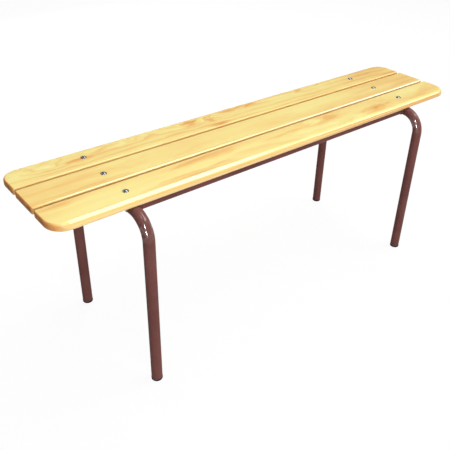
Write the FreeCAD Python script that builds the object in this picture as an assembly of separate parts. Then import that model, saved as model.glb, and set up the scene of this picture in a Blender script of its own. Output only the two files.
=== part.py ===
import FreeCAD, Part
import math
import os

from FreeCAD import Vector

# Stacking bench: three pine slats bolted onto two bent-tube leg frames, which two welded rails tie together.
# Millimetres. +X runs along the seat, +Y to the rear and +Z up, with the origin on the floor between the feet.

# Seat
seat_length = 1200.0
seat_height = 455.0
slat_width = 82.0
slat_thickness = 16.0
slat_gap = 6.5
seat_corner_radius = 40.0     # plan radius at the four corners of the seat
slat_corner_radius = 6.0      # plan radius at every other slat corner
seat_edge_round = 12.0        # top round-over along the seat's front and rear edges
slat_edge_round = 4.0         # top round-over along slat ends and gaps
slat_bottom_round = 3.0       # rounding of all bottom edges

# Leg frames
tube_diameter = 25.0
tube_wall = 1.5
bend_radius = 50.0            # at the tube's centre line
frame_inset = 172.0           # from a seat end to the leg frame's centre plane
leg_clearance = 25.0          # open space between the seat's edge and a leg, which lets benches stack

# Rails and their welds
rail_step = 1.5               # how far the rail's top lies below the cross tube's top
rail_wall = 1.5
rail_inset = 23.0             # from the seat's edge to the rail's centre line
weld_leg = 2.5                # reach of a weld bead over each of the two tubes
weld_crown = 2.0              # rounding of a bead's outer edge
weld_flush_gap = 0.3          # what is dressed off below the slat

# Bolts, washers and nuts
bolt_diameter = 5.0
bolt_head_diameter = 13.0
bolt_head_height = 3.0
bolt_head_rim = 0.6
bolt_neck_side = 5.5
bolt_neck_depth = 4.0
bolt_tip = 2.0                # what stands out below the nut
bolt_tip_bevel = 0.6
bolt_hole_clearance = 0.25    # radial, in slat and tube
neck_clearance = 0.05         # each side of the square neck
washer_diameter = 10.0
washer_thickness = 1.0
washer_clearance = 0.15       # radial
nut_width = 8.0               # across the flats
nut_height = 4.0
thread_clearance = 0.05       # radial

# Foot glides
glide_height = 5.0
glide_edge_round = 2.0
glide_lip = 0.4               # how far the foot stands out past the tube
plug_length = 22.0
plug_wall = 2.0
fin_count = 3
fin_depth = 1.6
fin_thickness = 1.8
fin_spacing = 6.0
fin_clearance = 0.1           # radial, inside the tube

# Places worked out from the sizes above
slat_pitch = slat_width + slat_gap
seat_depth = 3 * slat_width + 2 * slat_gap
frame_spacing = seat_length - 2 * frame_inset
slat_underside = seat_height - slat_thickness
tube_radius = tube_diameter / 2
bore_radius = tube_radius - tube_wall
cross_tube_z = slat_underside - tube_radius
leg_y = seat_depth / 2 + leg_clearance + tube_radius
rail_radius = tube_radius - rail_step
rail_y = seat_depth / 2 - rail_inset
bolt_hole_radius = bolt_diameter / 2 + bolt_hole_clearance
bolt_length = slat_thickness + tube_diameter + washer_thickness + nut_height + bolt_tip
frame_x = {"left": -frame_spacing / 2, "right": frame_spacing / 2}
rail_ys = {"front": -rail_y, "rear": rail_y}
leg_ys = {"front": -leg_y, "rear": leg_y}
slat_ys = {"front": -slat_pitch, "middle": 0.0, "rear": slat_pitch}


def write(node, shape):
    shape.exportStep("parts/" + node + ".step")


def corner_arc(center_x, center_y, radius, start_angle):
    angles = [math.radians(start_angle + turn) for turn in (0, 45, 90)]
    points = [Vector(center_x + radius * math.cos(a), center_y + radius * math.sin(a), 0) for a in angles]
    return points


def slat_outline(front_radius, rear_radius):
    # A rectangle about the slat's own middle, with one corner radius in front and one at the rear.
    half_length = seat_length / 2
    half_width = slat_width / 2
    front_x = half_length - front_radius
    front_y = half_width - front_radius
    rear_x = half_length - rear_radius
    rear_y = half_width - rear_radius
    corners = [
        corner_arc(-front_x, -front_y, front_radius, 180),
        corner_arc(front_x, -front_y, front_radius, 270),
        corner_arc(rear_x, rear_y, rear_radius, 0),
        corner_arc(-rear_x, rear_y, rear_radius, 90),
    ]
    edges = []
    for corner, next_corner in zip(corners, corners[1:] + corners[:1]):
        edges.append(Part.Arc(*corner).toShape())
        edges.append(Part.LineSegment(corner[2], next_corner[0]).toShape())
    return Part.Face(Part.Wire(edges))


def edge_round_at(point, outer_sides):
    # The round-over that a top edge has at one of its ends.
    for side in outer_sides:
        if math.isclose(point.y, side * slat_width / 2, abs_tol=1e-6):
            return seat_edge_round
    return slat_edge_round


def round_edges(blank, outer_sides):
    # Along a seat corner the round-over runs evenly from the long edge's radius to the end's.
    document = FreeCAD.newDocument("slat")
    base = document.addObject("Part::Feature", "blank")
    base.Shape = blank
    rounded = document.addObject("Part::Fillet", "rounded")
    rounded.Base = base
    radii = []
    for number, edge in enumerate(blank.Edges, start=1):
        first, last = [vertex.Point for vertex in (edge.firstVertex(), edge.lastVertex())]
        if not math.isclose(first.z, last.z, abs_tol=1e-6):
            continue
        if first.z < slat_thickness / 2:
            radii.append((number, slat_bottom_round, slat_bottom_round))
        else:
            radii.append((number, edge_round_at(first, outer_sides), edge_round_at(last, outer_sides)))
    rounded.Edges = radii
    document.recompute()
    shape = rounded.Shape.Solids[0]
    FreeCAD.closeDocument(document.Name)
    return shape


def slat(name):
    # The bolt's round hole goes right through, and its square neck sits in the top.
    outer_sides = {"front": [-1], "middle": [], "rear": [1]}[name]
    front_radius = seat_corner_radius if -1 in outer_sides else slat_corner_radius
    rear_radius = seat_corner_radius if 1 in outer_sides else slat_corner_radius
    blank = slat_outline(front_radius, rear_radius).extrude(Vector(0, 0, slat_thickness))
    board = round_edges(blank, outer_sides)
    board.translate(Vector(0, slat_ys[name], slat_underside))
    pocket = bolt_neck_side + 2 * neck_clearance
    for x in frame_x.values():
        hole = Part.makeCylinder(bolt_hole_radius, slat_thickness, Vector(x, slat_ys[name], slat_underside))
        corner = Vector(x - pocket / 2, slat_ys[name] - pocket / 2, seat_height - bolt_neck_depth)
        board = board.cut(hole).cut(Part.makeBox(pocket, pocket, bolt_neck_depth, corner))
    return board.Solids[0]


def frame_path(x):
    # Up the front leg, across under the seat and down the rear leg, with a tangent arc at each bend.
    bend_drop = bend_radius * (1 - math.sqrt(0.5))
    bend_z = cross_tube_z - bend_radius
    front_foot = Vector(x, -leg_y, glide_height)
    front_bend = [
        Vector(x, -leg_y, bend_z),
        Vector(x, -leg_y + bend_drop, cross_tube_z - bend_drop),
        Vector(x, -leg_y + bend_radius, cross_tube_z),
    ]
    rear_bend = [Vector(x, -point.y, point.z) for point in reversed(front_bend)]
    rear_foot = Vector(x, leg_y, glide_height)
    return Part.Wire([
        Part.LineSegment(front_foot, front_bend[0]).toShape(),
        Part.Arc(*front_bend).toShape(),
        Part.LineSegment(front_bend[2], rear_bend[0]).toShape(),
        Part.Arc(*rear_bend).toShape(),
        Part.LineSegment(rear_bend[2], rear_foot).toShape(),
    ])


def bent_bar(x, radius):
    section = Part.Circle(Vector(x, -leg_y, glide_height), Vector(0, 0, 1), radius)
    return frame_path(x).makePipe(Part.Face(Part.Wire(section.toShape())))


def leg_frame(x):
    tube = bent_bar(x, tube_radius).cut(bent_bar(x, bore_radius))
    for y in slat_ys.values():
        foot = Vector(x, y, cross_tube_z - tube_radius)
        tube = tube.cut(Part.makeCylinder(bolt_hole_radius, tube_diameter, foot))
    return tube.Solids[0]


def rail_bar(y, radius):
    return Part.makeCylinder(radius, frame_spacing, Vector(frame_x["left"], y, cross_tube_z), Vector(1, 0, 0))


def rail(y, frame_bars):
    # Both ends are coped to the round of the cross tubes.
    tube = rail_bar(y, rail_radius).cut(rail_bar(y, rail_radius - rail_wall))
    for bar in frame_bars:
        tube = tube.cut(bar)
    return tube.Solids[0]


def weld_bead(side, y, frame_bar):
    # A fillet all round the cope: the overlap of the two thickened tubes, with its outer edge rounded.
    # Its top is dressed flush so that the slat lies flat on the cross tube.
    inward = Vector(-math.copysign(1, frame_x[side]), 0, 0)
    center = Vector(frame_x[side], y, cross_tube_z)
    thick_rail_radius = rail_radius + weld_leg
    thick_tube_radius = tube_radius + weld_leg
    saddle_depth = math.sqrt(tube_radius ** 2 - rail_radius ** 2)
    toe = saddle_depth - weld_leg
    half_run = 2 * thick_rail_radius
    thick_tube = Part.makeCylinder(
        thick_tube_radius, 2 * half_run, center - Vector(0, half_run, 0), Vector(0, 1, 0))
    thick_rail = Part.makeCylinder(thick_rail_radius, thick_tube_radius, center + inward * toe, inward)
    blank = thick_tube.common(thick_rail)
    crest = [edge for edge in blank.Edges if abs(edge.CenterOfMass.x - center.x) > thick_tube_radius / 2]
    bead = blank.makeFillet(weld_crown, crest[:1])
    dressing = Part.makeBox(
        4 * thick_tube_radius, 2 * half_run, thick_tube_radius,
        Vector(center.x - 2 * thick_tube_radius, y - half_run, slat_underside - weld_flush_gap))
    return bead.cut(frame_bar).cut(rail_bar(y, rail_radius)).cut(dressing).Solids[0]


def bolt(x, y):
    # Domed head over a square neck, with a plain shank that stands in for the thread.
    head_radius = bolt_head_diameter / 2
    dome_rise = bolt_head_height - bolt_head_rim
    dome_radius = (head_radius ** 2 + dome_rise ** 2) / (2 * dome_rise)
    half_angle = math.asin(head_radius / dome_radius) / 2
    dome_middle = Vector(
        dome_radius * math.sin(half_angle), 0, bolt_head_height - dome_radius * (1 - math.cos(half_angle)))
    crown = Vector(0, 0, bolt_head_height)
    rim_top = Vector(head_radius, 0, bolt_head_rim)
    shank_radius = bolt_diameter / 2
    turns = [
        Vector(head_radius, 0, 0),
        Vector(shank_radius, 0, 0),
        Vector(shank_radius, 0, bolt_tip_bevel - bolt_length),
        Vector(shank_radius - bolt_tip_bevel, 0, -bolt_length),
        Vector(0, 0, -bolt_length),
        crown,
    ]
    edges = [Part.Arc(crown, dome_middle, rim_top).toShape()]
    for start, end in zip([rim_top] + turns, turns):
        edges.append(Part.LineSegment(start, end).toShape())
    turned = Part.Face(Part.Wire(edges)).revolve(Vector(0, 0, 0), Vector(0, 0, 1), 360)
    neck_corner = Vector(-bolt_neck_side / 2, -bolt_neck_side / 2, -bolt_neck_depth)
    neck = Part.makeBox(bolt_neck_side, bolt_neck_side, bolt_neck_depth, neck_corner)
    shape = turned.fuse(neck).removeSplitter().Solids[0]
    shape.translate(Vector(x, y, seat_height))
    return shape


def washer(x, y):
    bottom = Vector(x, y, cross_tube_z - tube_radius - washer_thickness)
    bore = Part.makeCylinder(bolt_diameter / 2 + washer_clearance, washer_thickness, bottom)
    return Part.makeCylinder(washer_diameter / 2, washer_thickness, bottom).cut(bore)


def nut(x, y):
    bottom = Vector(x, y, cross_tube_z - tube_radius - washer_thickness - nut_height)
    corner_radius = nut_width / math.sqrt(3)
    corners = [math.radians(60 * step) for step in range(7)]
    points = [bottom + Vector(corner_radius * math.cos(a), corner_radius * math.sin(a), 0) for a in corners]
    body = Part.Face(Part.makePolygon(points)).extrude(Vector(0, 0, nut_height))
    bore = Part.makeCylinder(bolt_diameter / 2 + thread_clearance, nut_height, bottom)
    return body.cut(bore)


def foot_glide(x, y):
    # A round foot under the tube's end, with a hollow plug whose fins hold it in the bore.
    foot_radius = tube_radius + glide_lip
    fin_radius = bore_radius - fin_clearance
    core_radius = fin_radius - fin_depth
    top = glide_height + plug_length
    base = Part.makeCylinder(foot_radius, glide_height)
    bottom_edge = [edge for edge in base.Edges if edge.CenterOfMass.z < glide_edge_round][:1]
    shape = base.makeFillet(glide_edge_round, bottom_edge)
    shape = shape.fuse(Part.makeCylinder(core_radius, plug_length, Vector(0, 0, glide_height)))
    for number in range(fin_count):
        fin_top = top - number * fin_spacing
        shape = shape.fuse(Part.makeCylinder(fin_radius, fin_thickness, Vector(0, 0, fin_top - fin_thickness)))
    hollow = Part.makeCylinder(core_radius - plug_wall, plug_length, Vector(0, 0, glide_height))
    shape = shape.cut(hollow).removeSplitter().Solids[0]
    shape.translate(Vector(x, y, 0))
    return shape


def build():
    os.makedirs("parts", exist_ok=True)
    for name in slat_ys:
        write("slat_" + name, slat(name))
    frame_bars = {side: bent_bar(x, tube_radius) for side, x in frame_x.items()}
    for place, y in rail_ys.items():
        write("rail_" + place, rail(y, frame_bars.values()))
    for side, x in frame_x.items():
        write("leg_frame_" + side, leg_frame(x))
        for place, y in rail_ys.items():
            write("weld_bead_" + place + "_" + side, weld_bead(side, y, frame_bars[side]))
        for place, y in leg_ys.items():
            write("foot_glide_" + place + "_" + side, foot_glide(x, y))
        for place, y in slat_ys.items():
            write("bolt_" + place + "_" + side, bolt(x, y))
            write("washer_" + place + "_" + side, washer(x, y))
            write("nut_" + place + "_" + side, nut(x, y))


build()
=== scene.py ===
import math

import bmesh
import bpy
import numpy as np
from mathutils import Matrix, Vector


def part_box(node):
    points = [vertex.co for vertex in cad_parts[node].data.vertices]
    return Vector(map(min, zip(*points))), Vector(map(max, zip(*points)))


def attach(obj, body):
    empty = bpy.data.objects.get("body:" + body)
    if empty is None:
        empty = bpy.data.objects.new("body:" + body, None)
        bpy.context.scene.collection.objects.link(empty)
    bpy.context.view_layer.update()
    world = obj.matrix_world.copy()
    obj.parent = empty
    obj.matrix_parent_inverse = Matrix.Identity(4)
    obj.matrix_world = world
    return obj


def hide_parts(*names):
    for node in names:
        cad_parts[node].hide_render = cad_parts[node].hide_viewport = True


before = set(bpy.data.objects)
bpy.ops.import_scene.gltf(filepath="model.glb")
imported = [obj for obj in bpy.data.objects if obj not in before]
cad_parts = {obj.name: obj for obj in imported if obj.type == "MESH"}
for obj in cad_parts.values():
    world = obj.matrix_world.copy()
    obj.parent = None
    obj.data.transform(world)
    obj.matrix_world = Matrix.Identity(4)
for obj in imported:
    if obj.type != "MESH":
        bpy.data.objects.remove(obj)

# Stacking bench: three varnished pine slats on two painted bent-tube frames, tied by two welded rails.
# Metres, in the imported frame: +X along the seat, +Y to the rear, +Z up, origin on the floor.

mm = 0.001
tiny = 1e-9                       # directions smaller than this count as 0
quarterTurn = math.pi / 2
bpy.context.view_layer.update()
sides = ("left", "right")
ends = ("front", "rear")
corners = [(place, side) for place in ends for side in sides]
slatNames = ("front", "middle", "rear")


def boxOf(node):
    low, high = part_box(node)
    return np.array(low), np.array(high)


def middleOf(node):
    low, high = boxOf(node)
    return (low + high) / 2


def undersideOf(node):
    # the middle of a node's underside
    return np.array([*middleOf(node)[:2], boxOf(node)[0][2]])


def halfSizeOf(node):
    low, high = boxOf(node)
    return (high - low) / 2


# Meshes

meshCare = {
    "mergeDistance": 1e-6,        # points closer than this become one
    "leastEdge": 1e-7,
    "sharpAngle": 50,             # degrees between faces from which an edge shows sharp
}


def gridFaces(rows, cols, closeRows):
    # quads between neighbouring lines of a rows by cols grid; the columns run round and join up,
    # and with closeRows the last row is joined to the first as well
    row, col = np.meshgrid(np.arange(rows if closeRows else rows - 1), np.arange(cols), indexing="ij")
    nextRow, nextCol = (row + 1) % rows, (col + 1) % cols
    quads = [row * cols + col, row * cols + nextCol, nextRow * cols + nextCol, nextRow * cols + col]
    return np.stack(quads, axis=-1).reshape(-1, 4)


def closeSeams(mesh):
    # points that fall together at a pole or a seam become one, and the faces turn outward
    work = bmesh.new()
    work.from_mesh(mesh)
    bmesh.ops.remove_doubles(work, verts=work.verts, dist=meshCare["mergeDistance"])
    bmesh.ops.dissolve_degenerate(work, edges=work.edges, dist=meshCare["leastEdge"])
    bmesh.ops.recalc_face_normals(work, faces=work.faces)
    work.to_mesh(mesh)
    work.free()


def makeObject(name, points, material, closeRows=False, marks=None):
    # a mesh on a grid of points; each mark is a number at every point, which the material reads
    mesh = bpy.data.meshes.new(name)
    faces = gridFaces(*points.shape[:2], closeRows)
    mesh.from_pydata(points.reshape(-1, 3).tolist(), [], faces.tolist())
    for markName, values in (marks or {}).items():
        mark = mesh.attributes.new(markName, "FLOAT", "POINT")
        mark.data.foreach_set("value", values.astype(np.float32).ravel())
    closeSeams(mesh)
    mesh.shade_smooth()
    mesh.materials.append(material)
    made = bpy.data.objects.new(name, mesh)
    bpy.context.scene.collection.objects.link(made)
    return made


def makePiece(name, node, points, material, closeRows=False, marks=None,
              sharpAngle=meshCare["sharpAngle"]):
    piece = makeObject(name, points, material, closeRows, marks)
    piece.data.set_sharp_from_angle(angle=math.radians(sharpAngle))
    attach(piece, "root")
    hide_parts(node)


def ringAngles(count):
    return np.linspace(0, 2 * math.pi, count, endpoint=False)


def turnedPoints(radius, height, center, angle):
    # at each height a ring round the vertical line through center, with its radius at each angle
    x = center[0] + radius * np.cos(angle)
    y = center[1] + radius * np.sin(angle)
    z = np.broadcast_to(center[2] + height[:, None], x.shape)
    return np.stack([x, y, z], axis=-1)


def turnedProfile(profile, center, turns):
    # a profile of (radius, height) pairs turned round the vertical line through center
    radius, height = np.array(profile).T
    return turnedPoints(radius[:, None], height, center, ringAngles(turns))


# Node helpers for the materials

def srgb(red, green, blue):
    # a colour as displayed, 0 to 255, in the linear values that the nodes take
    value = np.array([red, green, blue]) / 255
    linear = np.where(value <= 0.04045, value / 12.92, ((value + 0.055) / 1.055) ** 2.4)
    return (*linear.tolist(), 1.0)


def grey(value):
    return (value, value, value, 1.0)


def addNode(tree, kind, inputs=None, **settings):
    made = tree.nodes.new(kind)
    for key, value in settings.items():
        setattr(made, key, value)
    for key, value in (inputs or {}).items():
        if isinstance(value, bpy.types.NodeSocket):
            tree.links.new(value, made.inputs[key])
        else:
            made.inputs[key].default_value = value
    return made


def startMaterial(name):
    material = bpy.data.materials.new(name)
    material.use_nodes = True
    tree = material.node_tree
    tree.nodes.clear()
    coords = addNode(tree, "ShaderNodeTexCoord").outputs["Object"]
    return material, tree, coords


def finishMaterial(tree, **inputs):
    named = {key.replace("_", " "): value for key, value in inputs.items()}
    shader = addNode(tree, "ShaderNodeBsdfPrincipled", named)
    addNode(tree, "ShaderNodeOutputMaterial", {"Surface": shader.outputs["BSDF"]})


def stretchedNoise(tree, coords, perMetre, seed, detail=2.0, roughness=0.5, output="Fac"):
    # noise with its own count of waves per metre along each axis
    placed = addNode(tree, "ShaderNodeMapping", {"Vector": coords, "Location": seed, "Scale": perMetre})
    made = addNode(tree, "ShaderNodeTexNoise", {
        "Vector": placed.outputs["Vector"], "Scale": 1.0, "Detail": detail, "Roughness": roughness})
    return made.outputs[output]


def mathOf(tree, operation, *values, clamp=False):
    inputs = dict(enumerate(values))
    return addNode(tree, "ShaderNodeMath", inputs, operation=operation, use_clamp=clamp).outputs[0]


def vectorOf(tree, operation, first, second):
    made = addNode(tree, "ShaderNodeVectorMath", {0: first, 1: second}, operation=operation)
    return made.outputs["Value" if operation == "DOT_PRODUCT" else "Vector"]


def markOf(tree, name):
    return addNode(tree, "ShaderNodeAttribute", attribute_name=name).outputs["Fac"]


def ramp(tree, factor, stops):
    made = addNode(tree, "ShaderNodeValToRGB", {"Fac": factor})
    elements = made.color_ramp.elements
    while len(elements) < len(stops):
        elements.new(0.5)
    for element, (place, color) in zip(elements, stops):
        element.position = place
        element.color = color
    return made.outputs["Color"]


def mixColor(tree, factor, first, second, blend="MIX"):
    made = addNode(tree, "ShaderNodeMix", {0: factor, 6: first, 7: second},
                   data_type="RGBA", blend_type=blend)
    return made.outputs[2]


def tinted(tree, color, factor, stops):
    # one colour times the ramp's
    return mixColor(tree, 1.0, color, ramp(tree, factor, stops), "MULTIPLY")


def rangeOf(tree, value, low=0.0, high=1.0, start=0.0, end=1.0):
    # low up to start, high from end on, and even between them
    made = addNode(tree, "ShaderNodeMapRange", {
        "Value": value, "From Min": start, "From Max": end, "To Min": low, "To Max": high})
    return made.outputs["Result"]


def addUp(tree, value, weight, total):
    # total plus weight times the value's distance from one half
    return mathOf(tree, "MULTIPLY_ADD", mathOf(tree, "SUBTRACT", value, 0.5), weight, total)


def bumpOf(tree, height, distance, strength, under=None):
    inputs = {"Height": height, "Distance": distance, "Strength": strength}
    if under is not None:
        inputs["Normal"] = under
    return addNode(tree, "ShaderNodeBump", inputs).outputs["Normal"]


# Pine

pineLook = {
    "tones": [                        # from pale early wood to orange late wood
        (0.00, srgb(255, 251, 218)),
        (0.09, srgb(252, 239, 162)),
        (0.32, srgb(250, 230, 149)),
        (0.50, srgb(248, 217, 138)),
        (0.70, srgb(243, 196, 119)),
        (1.00, srgb(231, 164, 88)),
    ],
    "plainTone": 0.44,                # where wood without figure or stain lies among the tones
    "roundOver": srgb(228, 160, 90),  # where the cut ends begin
    "roundOverFull": 0.55,            # the endGrain mark at which that colour is full
    "endWood": srgb(210, 142, 78),
    "endWoodStart": 0.50,             # the endGrain mark at which the cut end's colour starts
    "paintedShadeWood": srgb(238, 200, 130),  # painted shade on the sides in the gaps and along the seat's front
    "sideLines": [(0.38, srgb(236, 208, 168)), (0.50, grey(1.0))],  # tints the sides in fine lines
    "highlightColor": srgb(255, 251, 232),  # painted highlight along the middle board's front edge
    # both run once through a year ring, from early wood to late wood and back
    "ringTones": [(0.00, grey(0.25)), (0.45, grey(0.35)), (0.84, grey(1.0)), (1.00, grey(0.25))],
    "endRings": [(0.00, grey(1.0)), (0.86, grey(0.72)), (1.00, grey(1.0))],
    # waves per metre along, across and through a board
    "noises": {
        "waver": {"perMetre": (14.0, 45.0, 45.0), "detail": 3.0},
        "slow": {"perMetre": (2.4, 10.0, 10.0)},
        "patches": {"perMetre": (5.0, 20.0, 20.0), "detail": 3.0},
        "streaks": {"perMetre": (3.0, 130.0, 130.0), "detail": 3.0, "roughness": 0.6},
        "fibres": {"perMetre": (9.0, 420.0, 420.0), "detail": 3.0, "roughness": 0.6},
        "lines": {"perMetre": (1.2, 60.0, 240.0)},
    },
    "waverReach": (0.090, 0.020, 0.010),  # metres by which the waver moves the figure
    "slowReach": 2.2,                 # year rings by which the slow noise moves it
    "patches": 0.60,                  # weights of three of the noises in the tone
    "streaks": 0.13,
    "fibres": 0.09,
    "stainStreaks": (0.1, 1.9),       # how weak and how strong the streaks make a stain
    "grainDepth": 0.04 * mm,
    "grainStrength": 0.4,
    "index": 1.5,
    "specular": 0.2,
    "endRoughness": 0.75,
    "roughness": (0.20, 0.30),
    "coat": 1.0,
    "coatRoughness": 0.11,
    "coatIndex": 1.6,
    # figure is the weight of the year rings in the tone, and rings their count per metre across and along
    # the board, with half as many through it as across; swirls and stains are soft ovals with the place of
    # their middle, their half sizes and their strength: swirls push the rings aside, stains are orange or,
    # below 0, pale
    "boards": {
        "front": {
            "seed": (3.1, 0.4, 1.7), "figure": 0.20, "rings": (22.0, 1.0),
            "swirls": [(0.075, -0.014, 0.15, 0.034, 1.3), (0.113, 0.022, 0.045, 0.020, 1.0),
                       (0.146, -0.015, 0.026, 0.016, 0.7), (0.320, -0.012, 0.060, 0.022, -1.2),
                       (0.170, 0.020, 0.060, 0.022, -0.8), (-0.200, 0.030, 0.24, 0.030, -1.0),
                       (-0.280, -0.022, 0.20, 0.022, -0.8), (0.460, -0.010, 0.12, 0.050, 0.6)],
            "stains": [(0.075, -0.014, 0.15, 0.030, -0.34), (0.113, 0.022, 0.036, 0.019, -0.28),
                       (0.146, -0.015, 0.022, 0.014, -0.08), (0.235, -0.022, 0.045, 0.016, -0.34),
                       (-0.460, -0.004, 0.26, 0.040, -0.14), (-0.240, 0.004, 0.16, 0.020, -0.20),
                       (-0.080, 0.004, 0.08, 0.026, -0.14), (0.500, 0.018, 0.10, 0.022, -0.18),
                       (0.320, -0.012, 0.075, 0.025, 0.40), (0.335, -0.006, 0.035, 0.017, 0.12),
                       (0.175, 0.020, 0.070, 0.024, 0.28), (0.150, 0.004, 0.050, 0.015, 0.18),
                       (-0.220, 0.026, 0.15, 0.020, 0.24), (-0.550, 0.030, 0.09, 0.016, 0.26),
                       (-0.280, -0.021, 0.14, 0.012, 0.32), (0.020, 0.012, 0.10, 0.009, 0.24)],
        },
        "middle": {
            "seed": (7.7, 2.9, 0.3), "figure": 0.10, "rings": (24.0, 1.0),
            "swirls": [(-0.300, -0.020, 0.12, 0.060, 0.9), (0.200, 0.010, 0.30, 0.060, 0.6),
                       (-0.345, 0.000, 0.05, 0.060, 0.8)],
            "stains": [(-0.600, 0.000, 0.27, 0.300, 0.16), (-0.460, -0.004, 0.13, 0.090, 0.16),
                       (-0.050, 0.016, 0.35, 0.050, -0.05), (0.220, 0.012, 0.16, 0.050, -0.16),
                       (-0.250, -0.030, 0.20, 0.012, -0.12), (0.580, -0.018, 0.14, 0.050, 0.16),
                       (0.480, 0.000, 0.25, 0.200, 0.08)],
        },
        "rear": {
            "seed": (12.4, 5.2, 4.1), "figure": 0.36, "rings": (44.0, 1.4),
            "swirls": [(-0.504, 0.006, 0.055, 0.036, 1.5), (-0.420, 0.044, 0.07, 0.050, -1.1),
                       (-0.310, 0.044, 0.06, 0.050, 1.3), (-0.250, 0.040, 0.06, 0.050, -1.3),
                       (-0.148, 0.030, 0.045, 0.050, 1.5), (-0.100, 0.030, 0.035, 0.050, -1.0),
                       (-0.020, 0.034, 0.09, 0.055, 2.0), (0.250, 0.044, 0.10, 0.040, 0.9)],
            "stains": [(-0.504, 0.006, 0.026, 0.019, -0.32), (-0.565, 0.004, 0.035, 0.019, -0.22),
                       (-0.440, -0.004, 0.045, 0.014, 0.28), (-0.385, 0.012, 0.035, 0.014, 0.26),
                       (-0.396, 0.018, 0.022, 0.008, -0.28), (-0.338, 0.012, 0.018, 0.018, -0.26),
                       (-0.186, 0.008, 0.026, 0.015, -0.28), (-0.148, 0.016, 0.026, 0.028, 0.46),
                       (-0.114, 0.008, 0.020, 0.015, -0.26), (-0.088, 0.006, 0.024, 0.030, 0.40),
                       (-0.076, -0.034, 0.055, 0.013, 0.50), (-0.020, 0.024, 0.045, 0.016, 0.42),
                       (0.040, 0.022, 0.040, 0.018, 0.42), (0.150, 0.010, 0.09, 0.018, -0.26),
                       (0.214, 0.006, 0.026, 0.013, -0.22), (0.244, 0.020, 0.017, 0.015, 0.34),
                       (0.308, 0.024, 0.014, 0.011, 0.28), (0.300, 0.006, 0.030, 0.013, -0.20),
                       (0.520, -0.004, 0.20, 0.120, 0.20)],
        },
    },
}


def softHills(tree, place, hills, start):
    # start plus, for each oval, its height times the square of one less its squared way out
    total = start
    for x, y, sizeX, sizeY, height in hills:
        fromMiddle = addNode(tree, "ShaderNodeMapping", {
            "Vector": place, "Location": (-x / sizeX, -y / sizeY, 0.0),
            "Scale": (1 / sizeX, 1 / sizeY, 0.0)}).outputs["Vector"]
        squaredWay = vectorOf(tree, "DOT_PRODUCT", fromMiddle, fromMiddle)
        inside = mathOf(tree, "SUBTRACT", 1.0, squaredWay, clamp=True)  # nothing beyond the oval's edge
        hill = mathOf(tree, "MULTIPLY", inside, inside)
        total = mathOf(tree, "MULTIPLY_ADD", hill, height, total)
    return total


def pineMaterial(name, boardCenter):
    look = pineLook
    board = look["boards"][name]
    material, tree, coords = startMaterial("pine_" + name)

    def noise(kind, output="Fac"):
        return stretchedNoise(tree, coords, seed=board["seed"], output=output, **look["noises"][kind])

    onBoard = addNode(tree, "ShaderNodeMapping", {
        "Vector": coords, "Location": tuple(-boardCenter)}).outputs["Vector"]
    waver = vectorOf(tree, "SUBTRACT", noise("waver", "Color"), (0.5, 0.5, 0.5))
    place = vectorOf(tree, "ADD", onBoard, vectorOf(tree, "MULTIPLY", waver, look["waverReach"]))
    # the year rings are level lines of a slanted plane with hills on it, bent by slow noise
    across, along = board["rings"]
    plane = vectorOf(tree, "DOT_PRODUCT", place, (along, across, across / 2))
    swirled = softHills(tree, place, board["swirls"], plane)
    ring = mathOf(tree, "FRACT", addUp(tree, noise("slow"), look["slowReach"], swirled))
    # the tone is plain wood plus stains, year rings, patches, streaks and fibres
    streaks, fibres = noise("streaks"), noise("fibres")
    stain = softHills(tree, place, board["stains"], 0.0)
    stainStrength = rangeOf(tree, streaks, *look["stainStreaks"])
    tone = mathOf(tree, "MULTIPLY_ADD", stain, stainStrength, look["plainTone"])
    tone = addUp(tree, ramp(tree, ring, look["ringTones"]), board["figure"], tone)
    tone = addUp(tree, noise("patches"), look["patches"], tone)
    tone = addUp(tree, streaks, look["streaks"], tone)
    tone = addUp(tree, fibres, look["fibres"], tone)
    wood = ramp(tree, tone, look["tones"])
    # the marks lay painted shade on the sides, a painted highlight on the middle board's front edge, and
    # the colours of round-over and cut end over it
    shadeWithGrain = tinted(tree, look["paintedShadeWood"], noise("lines"), look["sideLines"])
    endTone = tinted(tree, look["endWood"], ring, look["endRings"])
    endGrain = markOf(tree, "endGrain")
    roundShare = rangeOf(tree, endGrain, end=look["roundOverFull"])
    cutShare = rangeOf(tree, endGrain, start=look["endWoodStart"])
    # painted shade on the sides, with fine grain lines in it
    wood = mixColor(tree, markOf(tree, "paintedShadeMark"), wood, shadeWithGrain)
    # painted highlight along the middle board's front edge
    wood = mixColor(tree, markOf(tree, "paintedHighlight"), wood, look["highlightColor"])
    wood = mixColor(tree, roundShare, wood, look["roundOver"])
    wood = mixColor(tree, cutShare, wood, endTone)
    varnish = markOf(tree, "varnish")
    gloss = addNode(tree, "ShaderNodeMix", {
        "Factor": varnish, "A": look["endRoughness"],
        "B": rangeOf(tree, fibres, *look["roughness"])}).outputs[0]
    finishMaterial(tree, Base_Color=wood, Roughness=gloss, IOR=look["index"],
                   Specular_IOR_Level=look["specular"],
                   Coat_Weight=rangeOf(tree, varnish, high=look["coat"]),
                   Coat_Roughness=look["coatRoughness"], Coat_IOR=look["coatIndex"],
                   Normal=bumpOf(tree, fibres, look["grainDepth"], look["grainStrength"]))
    return material


# Slats

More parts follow.
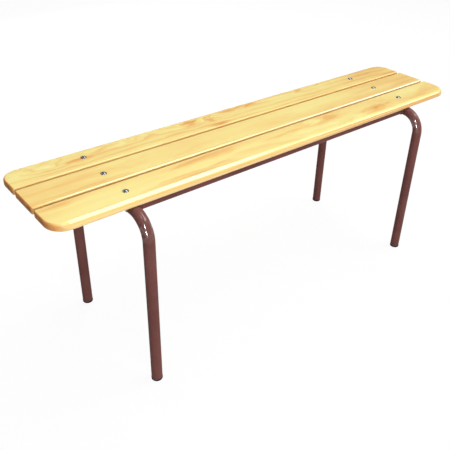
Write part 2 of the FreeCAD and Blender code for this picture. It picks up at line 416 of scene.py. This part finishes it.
slatShape = {
    "seatCorner": 40 * mm,        # plan radius at the seat's four corners
    "corner": 6 * mm,             # and at the boards' other corners
    "seatRound": 12 * mm,         # round-over along the seat's front and rear edges
    "round": 4 * mm,              # along ends and gaps
    "bottomRound": 3 * mm,
    "flatSteps": (0.03, 0.2, 0.6, 1.0),  # rows on the flats, as shares of the way in to the middle line
    "leastCorner": 0.02,          # least plan radius of the inner rows, as a share of their half width
    "longSteps": 40,
    "endSteps": 8,
    "arcSteps": 20,
    "roundSteps": 14,
    # varnish loss, painted shade and a painted highlight: upright is 0 on the flats and 1 on the sides, and
    # a pair is where a mark starts and is full
    "frontFacing": -0.5,          # a column faces the front if its outward Y is below this
    "varnishLoss": 5.0,           # how fast the varnish ends as the endGrain mark grows
    "bareEdge": 0.80,             # how far the rear board's front edge is bare of varnish, 0 to 1
    "bareUpright": (0.0, 0.25),
    "barePaintedShade": 0.6,             # share of the painted shade on the bare edge
    # painted shade on the sides in the gaps
    "gapUpright": (0.7, 1.0),
    "gapPower": 3,                # how sharply the painted shade in the gaps ends round the corners
    "faceUpright": (0.6, 0.9),    # painted shade on the seat's front face
    "facePaintedShade": (0.7, 1.0),      # the painted shade's share there at the left and at the right
    "faceAlong": (-0.2, 0.3),     # the X between which that share grows
    "highlightAlong": (-0.1, 0.3),     # the X between which the painted highlight on the middle board's front edge grows
}


def slatOutline():
    # once round the board: each column has the two corners it lies between, its share of the way, its
    # outward direction and how far it is from a seat corner's end side (0) to its long side (1)
    shape = slatShape
    arc = np.linspace(0, 1, shape["arcSteps"] + 1)
    still = np.zeros_like(arc)
    columns = []
    for corner in range(4):
        startAngle = (corner + 2) * quarterTurn
        angle = startAngle + quarterTurn * arc
        beforeLong = corner % 2 == 0
        toLong = arc if beforeLong else 1 - arc
        columns.append([still + corner, still + corner, still, np.cos(angle), np.sin(angle), toLong])
        steps = shape["longSteps"] if beforeLong else shape["endSteps"]
        share = np.linspace(0, 1, steps + 1)[1:-1]
        out = startAngle + quarterTurn
        flat = np.ones_like(share)
        columns.append([flat * corner, flat * ((corner + 1) % 4), share,
                        flat * np.cos(out), flat * np.sin(out), flat * beforeLong])
    return np.concatenate([np.stack(column) for column in columns], axis=1)


def fade(value, start, end):
    # 0 up to start, 1 from end on, and even between them
    return np.clip((value - start) / (end - start), 0, 1)


def slatMarks(x, outX, outY, upright, outerSide, outerFront, outerRear):
    # numbers from 0 to 1 at every point: endGrain on the cut ends; varnish everywhere but on the ends and
    # the rear board's front edge; painted shade in the gaps, on that edge and on the seat's front face,
    # deeper to the right there; a painted highlight on the middle board's front edge, four times upright
    # times one less upright
    wear = slatShape
    facesFront = outY < wear["frontFacing"]
    endGrain = outX ** 2 * upright
    bare = wear["bareEdge"] * outerRear * facesFront * fade(upright, *wear["bareUpright"])
    # painted shade: on the gap sides, on the bare edge and on the seat's front face
    inGap = (1 - outerSide) * np.abs(outY) ** wear["gapPower"] * fade(upright, *wear["gapUpright"])
    leftShade, rightShade = wear["facePaintedShade"]
    shade = leftShade + (rightShade - leftShade) * fade(x, *wear["faceAlong"])
    face = outerFront * facesFront * fade(upright, *wear["faceUpright"]) * shade
    # a painted highlight along the middle board's front edge, palest halfway round its round-over
    inMiddle = not outerFront and not outerRear
    edgeHighlight = inMiddle * facesFront * 4 * upright * (1 - upright) * fade(x, *wear["highlightAlong"])
    return {
        "endGrain": endGrain,
        "varnish": 1 - np.maximum(np.minimum(wear["varnishLoss"] * endGrain, 1), bare),
        "paintedShadeMark": np.maximum(np.maximum(inGap, wear["barePaintedShade"] * bare), face),
        "paintedHighlight": edgeHighlight,
    }


def slatSurface(low, high, outerFront, outerRear):
    # the outline is drawn at every inset from the edge, while the height follows bottom flat, bottom round,
    # side, top round-over and top flat; the innermost outlines close on the board's middle line
    shape = slatShape
    halfLength, halfWidth = (high[:2] - low[:2]) / 2
    center = (high + low) / 2
    thickness = high[2] - low[2]
    first, second, share, outX, outY, toLong = slatOutline()
    outerSide = np.where(outY < 0, outerFront, outerRear) * (np.abs(outY) > tiny)
    topRound = shape["round"] + (shape["seatRound"] - shape["round"]) * toLong * outerSide
    bottomRound = shape["bottomRound"] + 0 * topRound
    turn = np.linspace(0, quarterTurn, shape["roundSteps"] + 1)[:, None]
    flats = np.array(shape["flatSteps"])[:, None]
    bottomFlat = bottomRound + (halfWidth - bottomRound) * flats[::-1]
    topFlat = topRound + (halfWidth - topRound) * flats
    inset = np.concatenate([
        bottomFlat, bottomRound * (1 - np.sin(turn)), topRound * (1 - np.cos(turn)), topFlat])
    still = np.zeros_like(bottomFlat)
    height = np.concatenate([
        still, bottomRound * (1 - np.cos(turn)), thickness - topRound * (1 - np.sin(turn)),
        still + thickness])
    signX = np.array([-1, 1, 1, -1])
    signY = np.array([-1, -1, 1, 1])
    planRadius = np.where(signY < 0, shape["seatCorner"] if outerFront else shape["corner"],
                          shape["seatCorner"] if outerRear else shape["corner"])

    def atCorner(corner):
        corner = corner.astype(int)
        radius = np.maximum(planRadius[corner] - inset, shape["leastCorner"] * (halfWidth - inset))
        x = signX[corner] * (halfLength - inset - radius) + radius * outX
        y = signY[corner] * (halfWidth - inset - radius) + radius * outY
        return x, y

    firstX, firstY = atCorner(first)
    secondX, secondY = atCorner(second)
    x = center[0] + firstX * (1 - share) + secondX * share
    y = center[1] + firstY * (1 - share) + secondY * share
    points = np.stack([x, y, low[2] + height], axis=-1)
    upright = np.concatenate([still, np.sin(turn) + still[:1], np.cos(turn) + still[:1], still])
    return points, slatMarks(x, outX, outY, upright, outerSide, outerFront, outerRear)


def buildSlats():
    for name in slatNames:
        node = "slat_" + name
        points, marks = slatSurface(*boxOf(node), name == "front", name == "rear")
        material = pineMaterial(name, middleOf(node))
        makePiece("pine_" + node, node, points, material, marks=marks)
    print("slats:", len(slatNames))


# Paint

paintLook = {
    "tones": [(0.25, srgb(105, 65, 61)), (0.75, srgb(122, 78, 73))],
    "cloud": {"perMetre": (14.0, 14.0, 14.0), "seed": (1.0, 2.0, 3.0), "detail": 3.0},
    "peel": {"perMetre": (520.0, 520.0, 520.0), "seed": (0.0, 0.0, 0.0)},   # fine orange peel
    "flow": {"perMetre": (88.0, 90.0, 60.0), "seed": (4.144, 1.0, 0.0)},    # where the wet paint ran
    "peelTone": 0.8,              # weight of the peel in the tone
    "peelDepth": 0.03 * mm,
    "flowDepth": 0.20 * mm,
    "bumpStrength": 0.5,
    "roughness": (0.46, 0.56),
    "specular": 0.05,
    "coat": 1.0,                  # the paint shines in spots where the tubes were bent
    "coatSpots": (0.40, 0.56),    # the flow's values at which a spot starts and is full
    "coatRoughness": 0.13,
    "coatIndex": 1.7,
}


def paintMaterial():
    look = paintLook
    material, tree, coords = startMaterial("brown_paint")
    cloud, peel, flow = [stretchedNoise(tree, coords, **look[kind]) for kind in ("cloud", "peel", "flow")]
    color = ramp(tree, addUp(tree, peel, look["peelTone"], cloud), look["tones"])
    peelSkin = bumpOf(tree, peel, look["peelDepth"], look["bumpStrength"])
    skin = bumpOf(tree, flow, look["flowDepth"], look["bumpStrength"], peelSkin)
    polish = rangeOf(tree, markOf(tree, "polish"), high=look["coat"])
    spotStart, spotFull = look["coatSpots"]
    shine = mathOf(tree, "MULTIPLY", polish, rangeOf(tree, flow, start=spotStart, end=spotFull))
    finishMaterial(tree, Base_Color=color, Roughness=rangeOf(tree, cloud, *look["roughness"]),
                   Specular_IOR_Level=look["specular"], Coat_Weight=shine,
                   Coat_Roughness=look["coatRoughness"], Coat_IOR=look["coatIndex"],
                   Normal=skin, Coat_Normal=skin)
    return material


# Leg frames and rails

tubeShape = {
    "wall": 1.5 * mm,
    "bendRadius": 50 * mm,
    "bendFlat": 0.03,             # share by which a bend is flattened in its own plane
    "polishDrop": 0.50,           # bend radii below the top at which the paint shines most
    "polishReach": 0.45,          # bend radii above and below that at which the shine ends
    "polishPeak": 1.2,            # above 1 the full shine is wider than one line
    "around": 56,
    "legSteps": 24,
    "bendSteps": 32,
    "crossSteps": 30,
}


def framePath(low, high, radius):
    # up the front leg, round the bend, across, round the bend and down; slope is the way's angle above the
    # floor, inBend is 1 in the middle of a bend, and polish falls off by the square of the distance
    shape = tubeShape
    bend = shape["bendRadius"]
    frontY, rearY, topZ = low[1] + radius, high[1] - radius, high[2] - radius
    up = np.linspace(low[2], topZ - bend, shape["legSteps"], endpoint=False)
    turn = np.linspace(0, quarterTurn, shape["bendSteps"], endpoint=False)
    across = np.linspace(frontY + bend, rearY - bend, shape["crossSteps"], endpoint=False)
    down = np.linspace(topZ - bend, low[2], shape["legSteps"] + 1)
    y = np.concatenate([0 * up + frontY, frontY + bend * (1 - np.cos(turn)), across,
                        rearY - bend * (1 - np.sin(turn)), 0 * down + rearY])
    z = np.concatenate([up, topZ - bend * (1 - np.sin(turn)), 0 * across + topZ,
                        topZ - bend * (1 - np.cos(turn)), down])
    slope = np.concatenate([0 * up + quarterTurn, quarterTurn - turn, 0 * across,
                            -turn, 0 * down - quarterTurn])
    inBend = np.concatenate([0 * up, np.sin(2 * turn), 0 * across, np.sin(2 * turn), 0 * down])
    fromShine = ((topZ - z) / bend - shape["polishDrop"]) / shape["polishReach"]
    polish = np.clip(shape["polishPeak"] * (1 - fromShine ** 2), 0, 1)
    return y, z, slope, inBend, polish


def tubeSurface(low, high):
    # a ring carried along the path, a little flattened in the bends; out along the skin and back along
    # the bore
    shape = tubeShape
    radius = (high[0] - low[0]) / 2
    y, z, slope, inBend, polish = framePath(low, high, radius)
    ring = ringAngles(shape["around"])
    points = []
    for ringRadius, order in ((radius, 1), (radius - shape["wall"], -1)):
        lift = (ringRadius * (1 - shape["bendFlat"] * inBend))[:, None] * np.sin(ring)
        spread = (ringRadius * (1 + shape["bendFlat"] / 2 * inBend))[:, None] * np.cos(ring)
        x = (low[0] + high[0]) / 2 + spread
        wallY = y[:, None] - np.sin(slope)[:, None] * lift
        wallZ = z[:, None] + np.cos(slope)[:, None] * lift
        points.append(np.stack([x, wallY, wallZ], axis=-1)[::order])
    polish = np.repeat(np.concatenate([polish, polish[::-1]])[:, None], shape["around"], axis=1)
    return np.concatenate(points), {"polish": polish}


def buildLegFrames(paint):
    for side in sides:
        node = "leg_frame_" + side
        points, marks = tubeSurface(*boxOf(node))
        makePiece("painted_" + node, node, points, paint, closeRows=True, marks=marks)
    print("leg frames:", len(sides))


railShape = {
    "wall": 1.5 * mm,
    "lengthSteps": 40,
    "around": 48,
}


def saddleReach(rise):
    # how far from the cross tube's line its skin lies at that rise above the line
    tubeRadius = halfSizeOf("leg_frame_left")[0]
    return np.sqrt(tubeRadius ** 2 - rise ** 2)


def railSurface(node):
    # a straight tube whose two ends follow the round of the cross tubes; out along the skin and back along
    # the bore
    shape = railShape
    radius = halfSizeOf(node)[2]
    center = middleOf(node)
    leftX, rightX = [middleOf("leg_frame_" + side)[0] for side in sides]
    ring = ringAngles(shape["around"])
    share = np.linspace(0, 1, shape["lengthSteps"])[:, None]
    points = []
    for ringRadius, order in ((radius, 1), (radius - shape["wall"], -1)):
        reach = saddleReach(ringRadius * np.sin(ring))
        x = (leftX + reach) * (1 - share) + (rightX - reach) * share
        y = np.broadcast_to(center[1] + ringRadius * np.cos(ring), x.shape)
        z = np.broadcast_to(center[2] + ringRadius * np.sin(ring), x.shape)
        points.append(np.stack([x, y, z], axis=-1)[::order])
    return np.concatenate(points)


def buildRails(paint):
    for place in ends:
        node = "rail_" + place
        makePiece("painted_" + node, node, railSurface(node), paint, closeRows=True)
    print("rails:", len(ends))


weldShape = {
    "size": 2.3 * mm,
    "ripple": 0.16 * mm,
    "ripples": 24,
    "drift": 0.5,                 # radians by which the ripples run early and late
    "drifts": 5,                  # how often they do so in one round
    "around": 240,
    "section": 16,
    "dressing": 0.3 * mm,         # the bead's top stays this far below the slat
}


def weldSurface(place, side):
    # a bead with a rippled round section carried along the line where rail and cross tube meet
    shape = weldShape
    railRadius = halfSizeOf("rail_" + place)[2]
    center = middleOf("rail_" + place)
    frameX = middleOf("leg_frame_" + side)[0]
    inward = -math.copysign(1, frameX)
    around = ringAngles(shape["around"])[:, None]
    section = ringAngles(shape["section"])
    wave = around * shape["ripples"] + shape["drift"] * np.sin(shape["drifts"] * around)
    size = shape["size"] + shape["ripple"] * np.abs(np.sin(wave / 2)) - shape["ripple"] / 2
    reach = saddleReach(railRadius * np.sin(around))
    out = railRadius + size * np.cos(section)
    x = frameX + inward * (reach + size * np.sin(section))
    y = center[1] + out * np.cos(around)
    slatUnderside = undersideOf("slat_" + place)[2]
    z = np.minimum(center[2] + out * np.sin(around), slatUnderside - shape["dressing"])
    return np.stack([x, y, z], axis=-1)


def buildWelds(paint):
    for place, side in corners:
        tail = place + "_" + side
        points = weldSurface(place, side)
        makePiece("painted_weld_" + tail, "weld_bead_" + tail, points, paint, closeRows=True)
    print("weld beads:", len(corners))


# Zinc

zincLook = {
    "tones": [(0.3, srgb(84, 86, 92)), (0.65, srgb(126, 128, 134))],
    "bloom": {"perMetre": (260.0, 260.0, 260.0), "seed": (2.0, 0.0, 1.0), "detail": 3.0},
    "fine": {"perMetre": (2400.0, 2400.0, 700.0), "seed": (0.0, 3.0, 0.0)},
    "fineDepth": 0.01 * mm,
    "fineStrength": 0.4,
    "roughness": (0.08, 0.18),
}


def zincMaterial():
    look = zincLook
    material, tree, coords = startMaterial("zinc_plate")
    bloom, fine = [stretchedNoise(tree, coords, **look[kind]) for kind in ("bloom", "fine")]
    finishMaterial(tree, Base_Color=ramp(tree, bloom, look["tones"]), Metallic=1.0,
                   Roughness=rangeOf(tree, bloom, *look["roughness"]),
                   Normal=bumpOf(tree, fine, look["fineDepth"], look["fineStrength"]))
    return material


# Bolts, washers and nuts

boltShape = {
    "diameter": 5 * mm,
    "headDiameter": 13 * mm,
    "headHeight": 3 * mm,
    "headRim": 0.6 * mm,
    "neckSide": 5.5 * mm,
    "neckDepth": 4 * mm,
    "threadPitch": 0.8 * mm,
    "threadDepth": 0.35 * mm,
    "threadLength": 9 * mm,
    "tipBevel": 0.6 * mm,
    "domeSteps": 14,
    "pitchSteps": 8,
    "around": 64,
    "sharpAngle": 35,
}


def boltSurface(node):
    # a turned profile: dome, rim, square neck, plain shank and threaded end; in the neck the radius follows
    # a square, and along the thread it falls and rises once for each pitch, shifted by the angle
    shape = boltShape
    low, high = boxOf(node)
    seatZ = high[2] - shape["headHeight"]
    headRadius, shankRadius = shape["headDiameter"] / 2, shape["diameter"] / 2
    rise = shape["headHeight"] - shape["headRim"]
    ballRadius = (headRadius ** 2 + rise ** 2) / (2 * rise)
    lean = np.linspace(0, math.asin(headRadius / ballRadius), shape["domeSteps"])
    domeRadius = ballRadius * np.sin(lean)
    domeZ = shape["headHeight"] - ballRadius * (1 - np.cos(lean))
    neckHalf, neckZ = shape["neckSide"] / 2, -shape["neckDepth"]
    tipRadius, tipZ = shankRadius - shape["tipBevel"], low[2] - seatZ
    threadTop = tipZ + shape["threadLength"]
    threadZ = np.arange(threadTop, tipZ + shape["tipBevel"], -shape["threadPitch"] / shape["pitchSteps"])
    radius = np.concatenate([domeRadius, [headRadius, neckHalf, neckHalf, shankRadius],
                             0 * threadZ + shankRadius, [tipRadius, 0.0]])
    height = np.concatenate([domeZ, [0.0, 0.0, neckZ, neckZ - shankRadius], threadZ, [tipZ, tipZ]])
    squared = np.concatenate([0 * domeZ, [0.0, 1.0, 1.0, 0.0], 0 * threadZ, [0.0, 0.0]])[:, None]
    threaded = np.concatenate([0 * domeZ, np.zeros(4), np.ones_like(threadZ), [0.0, 0.0]])[:, None]
    angle = ringAngles(shape["around"])
    square = 1 / np.maximum(np.abs(np.cos(angle)), np.abs(np.sin(angle)))
    phase = (height[:, None] / shape["threadPitch"] + angle / (2 * math.pi)) % 1
    cut = shape["threadDepth"] * np.abs(2 * phase - 1)
    reach = radius[:, None] * (1 + (square - 1) * squared) - cut * threaded
    return turnedPoints(reach, height, [*middleOf(node)[:2], seatZ], angle)


washerShape = {
    "bore": 5.3 * mm,
    "edge": 0.2 * mm,
    "around": 64,
    "sharpAngle": 35,
}


def washerSurface(node):
    # a flat ring with bevelled edges, turned round its bolt
    shape = washerShape
    half = halfSizeOf(node)
    inner, outer = shape["bore"] / 2, half[0]
    thick, edge = 2 * half[2], shape["edge"]
    profile = [(inner, edge), (inner + edge, 0), (outer - edge, 0), (outer, edge), (outer, thick - edge),
               (outer - edge, thick), (inner + edge, thick), (inner, thick - edge)]
    return turnedProfile(profile, undersideOf(node), shape["around"])


nutShape = {
    "bore": 5.1 * mm,
    "chamfer": 0.5 * mm,
    "faceShare": 0.95,            # radius of the flat end face, as a share of half the width across flats
    "around": 96,
    "sharpAngle": 25,
}


def nutSurface(node):
    # a six-sided bar whose corners are turned off to a cone at both ends, and back down through the bore
    shape = nutShape
    half = halfSizeOf(node)
    halfFlats, thick, chamfer = half[1], 2 * half[2], shape["chamfer"]
    halfSide = math.pi / 6        # half the turn that one of the six sides takes
    corner = halfFlats / math.cos(halfSide)
    cone = [shape["bore"] / 2, shape["faceShare"] * halfFlats, (halfFlats + corner) / 2, corner]
    coneRadius = np.array(cone + cone[::-1])[:, None]
    rise = np.array([0.0, 0.0, chamfer / 2, chamfer])
    height = np.concatenate([rise, thick - rise[::-1]])
    angle = ringAngles(shape["around"])
    fromCorner = (angle + halfSide) % (2 * halfSide) - halfSide
    hexagon = halfFlats / np.cos(halfSide - np.abs(fromCorner))
    return turnedPoints(np.minimum(coneRadius, hexagon), height, undersideOf(node), angle)


def buildFasteners(zinc):
    for name in slatNames:
        for side in sides:
            tail = "_" + name + "_" + side
            bolt, washer, nut = "bolt" + tail, "washer" + tail, "nut" + tail
            makePiece("zinc_" + bolt, bolt, boltSurface(bolt), zinc,
                      sharpAngle=boltShape["sharpAngle"])
            makePiece("zinc_" + washer, washer, washerSurface(washer), zinc,
                      closeRows=True, sharpAngle=washerShape["sharpAngle"])
            makePiece("zinc_" + nut, nut, nutSurface(nut), zinc,
                      closeRows=True, sharpAngle=nutShape["sharpAngle"])
    print("bolts with washers and nuts:", len(slatNames) * len(sides))


# Plastic

plasticLook = {
    "tones": [(0.5, srgb(20, 18, 18)), (0.75, srgb(42, 39, 38))],  # black, and scuffed paler
    "scuff": {"perMetre": (180.0, 180.0, 420.0), "seed": (1.0, 1.0, 0.0), "detail": 4.0, "roughness": 0.65},
    "spark": {"perMetre": (1800.0, 1800.0, 1800.0), "seed": (0.0, 0.0, 2.0), "detail": 1.0},
    "sparkDepth": 0.02 * mm,
    "sparkStrength": 0.5,
    "roughness": (0.42, 0.6),
    "specular": 0.1,
}


def plasticMaterial():
    look = plasticLook
    material, tree, coords = startMaterial("black_plastic")
    scuff, spark = [stretchedNoise(tree, coords, **look[kind]) for kind in ("scuff", "spark")]
    finishMaterial(tree, Base_Color=ramp(tree, scuff, look["tones"]),
                   Roughness=rangeOf(tree, scuff, *look["roughness"]),
                   Specular_IOR_Level=look["specular"],
                   Normal=bumpOf(tree, spark, look["sparkDepth"], look["sparkStrength"]))
    return material


# Foot glides

glideShape = {
    "height": 5 * mm,
    "edgeRound": 2 * mm,
    "plugRadius": 9.3 * mm,
    "plugWall": 2 * mm,
    "finRadius": 10.9 * mm,
    "finThickness": 1.8 * mm,
    "finSpacing": 6 * mm,
    "fins": 3,
    "around": 64,
    "roundSteps": 8,
    "sharpAngle": 35,
}


def glideSurface(node):
    # a turned profile: flat sole, rounded edge, side, then the plug with its fins and the hollow inside it
    shape = glideShape
    half = halfSizeOf(node)
    footRadius, top = half[0], 2 * half[2]
    turn = np.linspace(0, quarterTurn, shape["roundSteps"])
    edge = shape["edgeRound"]
    sole = np.stack([footRadius - edge * (1 - np.sin(turn)), edge * (1 - np.cos(turn))], axis=-1)
    plug, fin = shape["plugRadius"], shape["finRadius"]
    profile = [(0.0, 0.0), *sole.tolist(), (footRadius, shape["height"]), (plug, shape["height"])]
    for number in reversed(range(shape["fins"])):
        finTop = top - number * shape["finSpacing"]
        finBottom = finTop - shape["finThickness"]
        profile += [(plug, finBottom), (fin, finBottom), (fin, finTop), (plug, finTop)]
    inside = plug - shape["plugWall"]
    profile += [(inside, top), (inside, shape["height"]), (0.0, shape["height"])]
    return turnedProfile(profile, undersideOf(node), shape["around"])


def buildGlides(plastic):
    for place, side in corners:
        tail = "glide_" + place + "_" + side
        node = "foot_" + tail
        makePiece("plastic_" + tail, node, glideSurface(node), plastic,
                  sharpAngle=glideShape["sharpAngle"])
    print("foot glides:", len(corners))


# Floor, light and camera

stageLook = {
    "flatRadius": 4.5,
    "wallRadius": 9.0,
    "wallHeight": 3.0,
    "wallSteps": 24,
    "around": 96,
    "drop": 0.02 * mm,            # the floor lies this far below the glides
    "seenColor": grey(1.0),
    "speckColor": grey(0.80),
    "speck": {"perMetre": (30.0, 30.0, 30.0), "seed": (0.0, 0.0, 0.0)},
    "speckShare": 0.06,
    "seenWhite": 0.92,            # share of plain white that the camera sees in the floor
    "bounceColor": grey(0.26),    # what the floor sends back to the bench
    "mirrorFade": (0.3, 2.4),     # heights between which the backdrop darkens in mirrors
    "skyLight": 0.06,
}


def seenShare(tree, coords):
    # 1 on rays from the camera, a mirror or glass, 0 on the rays that only carry light; in mirrors it
    # fades upwards
    path = addNode(tree, "ShaderNodeLightPath")
    height = addNode(tree, "ShaderNodeSeparateXYZ", {0: coords}).outputs["Z"]
    mirrorFade = rangeOf(tree, height, 1.0, 0.0, *stageLook["mirrorFade"])
    mirrored = mathOf(tree, "MULTIPLY", path.outputs["Is Glossy Ray"], mirrorFade)
    seen = mathOf(tree, "MAXIMUM", path.outputs["Is Camera Ray"], mirrored)
    return mathOf(tree, "MAXIMUM", seen, path.outputs["Is Transmission Ray"])


def floorMaterial():
    look = stageLook
    material, tree, coords = startMaterial("pale_floor")
    speck = rangeOf(tree, stretchedNoise(tree, coords, **look["speck"]), high=look["speckShare"])
    tone = mixColor(tree, speck, look["seenColor"], look["speckColor"])
    pale = addNode(tree, "ShaderNodeBsdfDiffuse", {"Color": tone}).outputs[0]
    white = addNode(tree, "ShaderNodeEmission", {"Color": grey(1.0), "Strength": 1.0}).outputs[0]
    seen = addNode(tree, "ShaderNodeMixShader", {0: look["seenWhite"], 1: pale, 2: white}).outputs[0]
    bounce = addNode(tree, "ShaderNodeBsdfDiffuse", {"Color": look["bounceColor"]}).outputs[0]
    share = seenShare(tree, coords)
    both = addNode(tree, "ShaderNodeMixShader", {0: share, 1: bounce, 2: seen}).outputs[0]
    addNode(tree, "ShaderNodeOutputMaterial", {"Surface": both})
    return material


def buildStage():
    # a turned sheet: flat under the bench, then rising along a quarter of an ellipse into a backdrop
    look = stageLook
    turn = np.linspace(0, quarterTurn, look["wallSteps"])
    radius = look["flatRadius"] + (look["wallRadius"] - look["flatRadius"]) * np.sin(turn)
    height = look["wallHeight"] * (1 - np.cos(turn)) - look["drop"]
    profile = [(0.0, height[0]), *np.stack([radius, height], axis=-1).tolist()]
    points = turnedProfile(profile, (0.0, 0.0, 0.0), look["around"])
    makeObject("floor", points, floorMaterial())
    print("floor: 1")


def buildSky():
    world = bpy.data.worlds.new("studio")
    bpy.context.scene.world = world
    world.use_nodes = True
    tree = world.node_tree
    tree.nodes.clear()
    sky = addNode(tree, "ShaderNodeBackground", {"Color": grey(1.0), "Strength": stageLook["skyLight"]})
    addNode(tree, "ShaderNodeOutputWorld", {"Surface": sky.outputs[0]})


# a lamp with mirrored False lights the bench but shows in no mirror, and one with lights False only shows
# in mirrors; all others do both
lampLook = {
    "ceiling": {"place": (1.80, 0.30, 4.40), "aim": (0.0, 0.30, 0.45),
                "size": (6.4, 2.0), "watts": 232.0},
    "left": {"place": (-0.74, -0.46, 2.10), "aim": (-0.57, -0.12, 0.45),
             "size": (0.6, 0.6), "watts": 4.5},
    "panel": {"place": (-1.10, 1.86, 2.58), "aim": (-0.43, 0.0, 0.45),
              "size": (1.9, 1.9), "watts": 15.0, "lights": False},
    "farLeft": {"place": (-2.40, -0.60, 1.30), "aim": (-0.55, 0.0, 0.40),
                "size": (0.9, 0.9), "watts": 5.0, "mirrored": False},
    "right": {"place": (2.10, -0.90, 2.00), "aim": (0.0, 0.0, 0.45),
              "size": (0.8, 1.5), "watts": 12.0},
    "flashHigh": {"place": (-1.40, -1.60, 1.60), "aim": (0.0, 0.0, 0.40),
                  "size": (0.24, 0.24), "watts": 46.0, "lights": False},
    "flashLow": {"place": (-1.50, -1.60, 0.70), "aim": (0.0, 0.0, 0.40),
                 "size": (0.26, 0.26), "watts": 40.0, "lights": False},
    "front": {"place": (-1.20, -4.20, 1.12), "aim": (0.0, 0.0, 0.35),
              "size": (1.8, 1.05), "watts": 128.0, "mirrored": False},
    "rightFront": {"place": (2.20, -1.70, 0.70), "aim": (0.43, -0.10, 0.25),
                   "size": (0.8, 0.8), "watts": 3.0, "mirrored": False},
    "rear": {"place": (-0.10, 2.80, 0.90), "aim": (0.0, 0.0, 0.35),
             "size": (2.4, 0.7), "watts": 26.0, "mirrored": False},
}


def buildLamps():
    for name, look in lampLook.items():
        lamp = bpy.data.lights.new(name, "AREA")
        lamp.shape = "RECTANGLE"
        lamp.size, lamp.size_y = look["size"]
        lamp.energy = look["watts"]
        holder = bpy.data.objects.new(name, lamp)
        holder.visible_glossy = look.get("mirrored", True)
        holder.visible_diffuse = look.get("lights", True)
        bpy.context.scene.collection.objects.link(holder)
        toward = Vector(look["aim"]) - Vector(look["place"])
        turned = toward.to_track_quat("-Z", "Y").to_matrix().to_4x4()
        holder.matrix_world = Matrix.Translation(look["place"]) @ turned
    print("lamps:", len(lampLook))


cameraView = {
    "place": (-0.9157, -1.0092, 1.0628),
    "yaw": 0.7148,                # radians, from +Y towards +X
    "pitch": -0.5539,
    "roll": 0.0402,
    "focal": 602.16,              # in pixels of the square image
    "middle": (244.85, 204.55),   # the pixel that the lens looks straight at
    "imageWidth": 450,
    "sensor": 36.0,               # millimetres
    "nearest": 0.01,
}


def buildCamera():
    view = cameraView
    yaw, pitch, roll = view["yaw"], view["pitch"], view["roll"]
    forward = np.array([math.sin(yaw) * math.cos(pitch), math.cos(yaw) * math.cos(pitch), math.sin(pitch)])
    level = np.cross(forward, [0, 0, 1])
    level /= np.linalg.norm(level)
    upright = np.cross(level, forward)
    right = math.cos(roll) * level + math.sin(roll) * upright
    up = math.cos(roll) * upright - math.sin(roll) * level
    data = bpy.data.cameras.new("camera")
    data.sensor_width = view["sensor"]
    data.lens = view["focal"] * view["sensor"] / view["imageWidth"]
    data.shift_x = 0.5 - view["middle"][0] / view["imageWidth"]
    data.shift_y = view["middle"][1] / view["imageWidth"] - 0.5
    data.clip_start = view["nearest"]
    camera = bpy.data.objects.new("camera", data)
    bpy.context.scene.collection.objects.link(camera)
    turned = Matrix(np.stack([right, up, -forward], axis=1).tolist()).to_4x4()
    camera.matrix_world = Matrix.Translation(view["place"]) @ turned
    bpy.context.scene.camera = camera


def build():
    buildSlats()
    paint = paintMaterial()
    buildLegFrames(paint)
    buildRails(paint)
    buildWelds(paint)
    buildFasteners(zincMaterial())
    buildGlides(plasticMaterial())
    buildStage()
    buildSky()
    buildLamps()
    buildCamera()
    bpy.context.scene.view_settings.view_transform = "Standard"


build()
bpy.context.view_layer.update()
